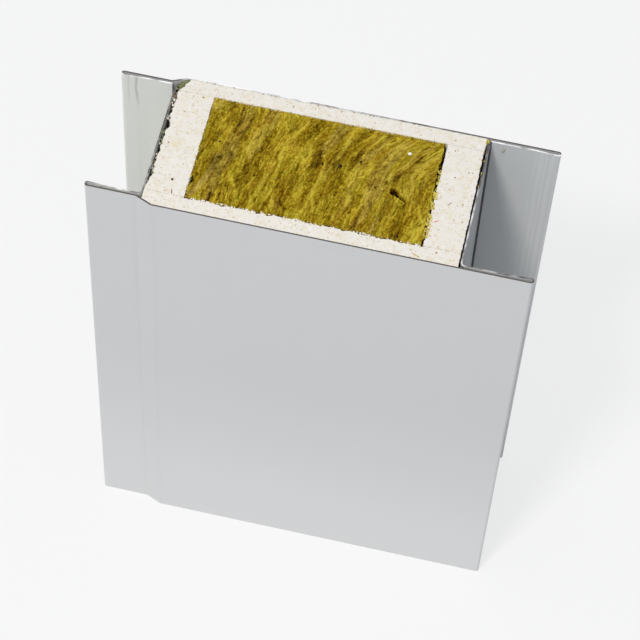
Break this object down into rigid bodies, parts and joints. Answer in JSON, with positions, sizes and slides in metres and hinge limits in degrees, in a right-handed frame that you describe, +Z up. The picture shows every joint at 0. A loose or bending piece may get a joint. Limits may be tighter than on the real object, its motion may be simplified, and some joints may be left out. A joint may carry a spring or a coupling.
{
  "type": "insulated wall panel",
  "caption": "Upright section of an insulated sandwich wall panel: painted steel faces over a board and mineral wool core, with a stepped male edge and an open female edge that slide together.",
  "frame": {"origin": "middle of the bottom cut end, on the surface that the section stands on", "axes": "+Z up the height, +X across the panel from the male edge to the female edge, -Y out of the front face"},
  "size_m": [0.1396, 0.05, 0.19],
  "materials": {
    "coated_steel": "satin light grey coil coating",
    "magnesium_board": "sawn cream magnesium oxide board",
    "mineral_wool": "cut mineral wool with streaks of fibre"
  },
  "bodies": {
    "root": {"front_face_sheet": "coated_steel", "back_face_sheet": "coated_steel", "front_board": "magnesium_board", "back_board": "magnesium_board", "left_edge_strip": "magnesium_board", "right_edge_strip": "magnesium_board", "wool_core": "mineral_wool"}
  },
  "joints": []
}
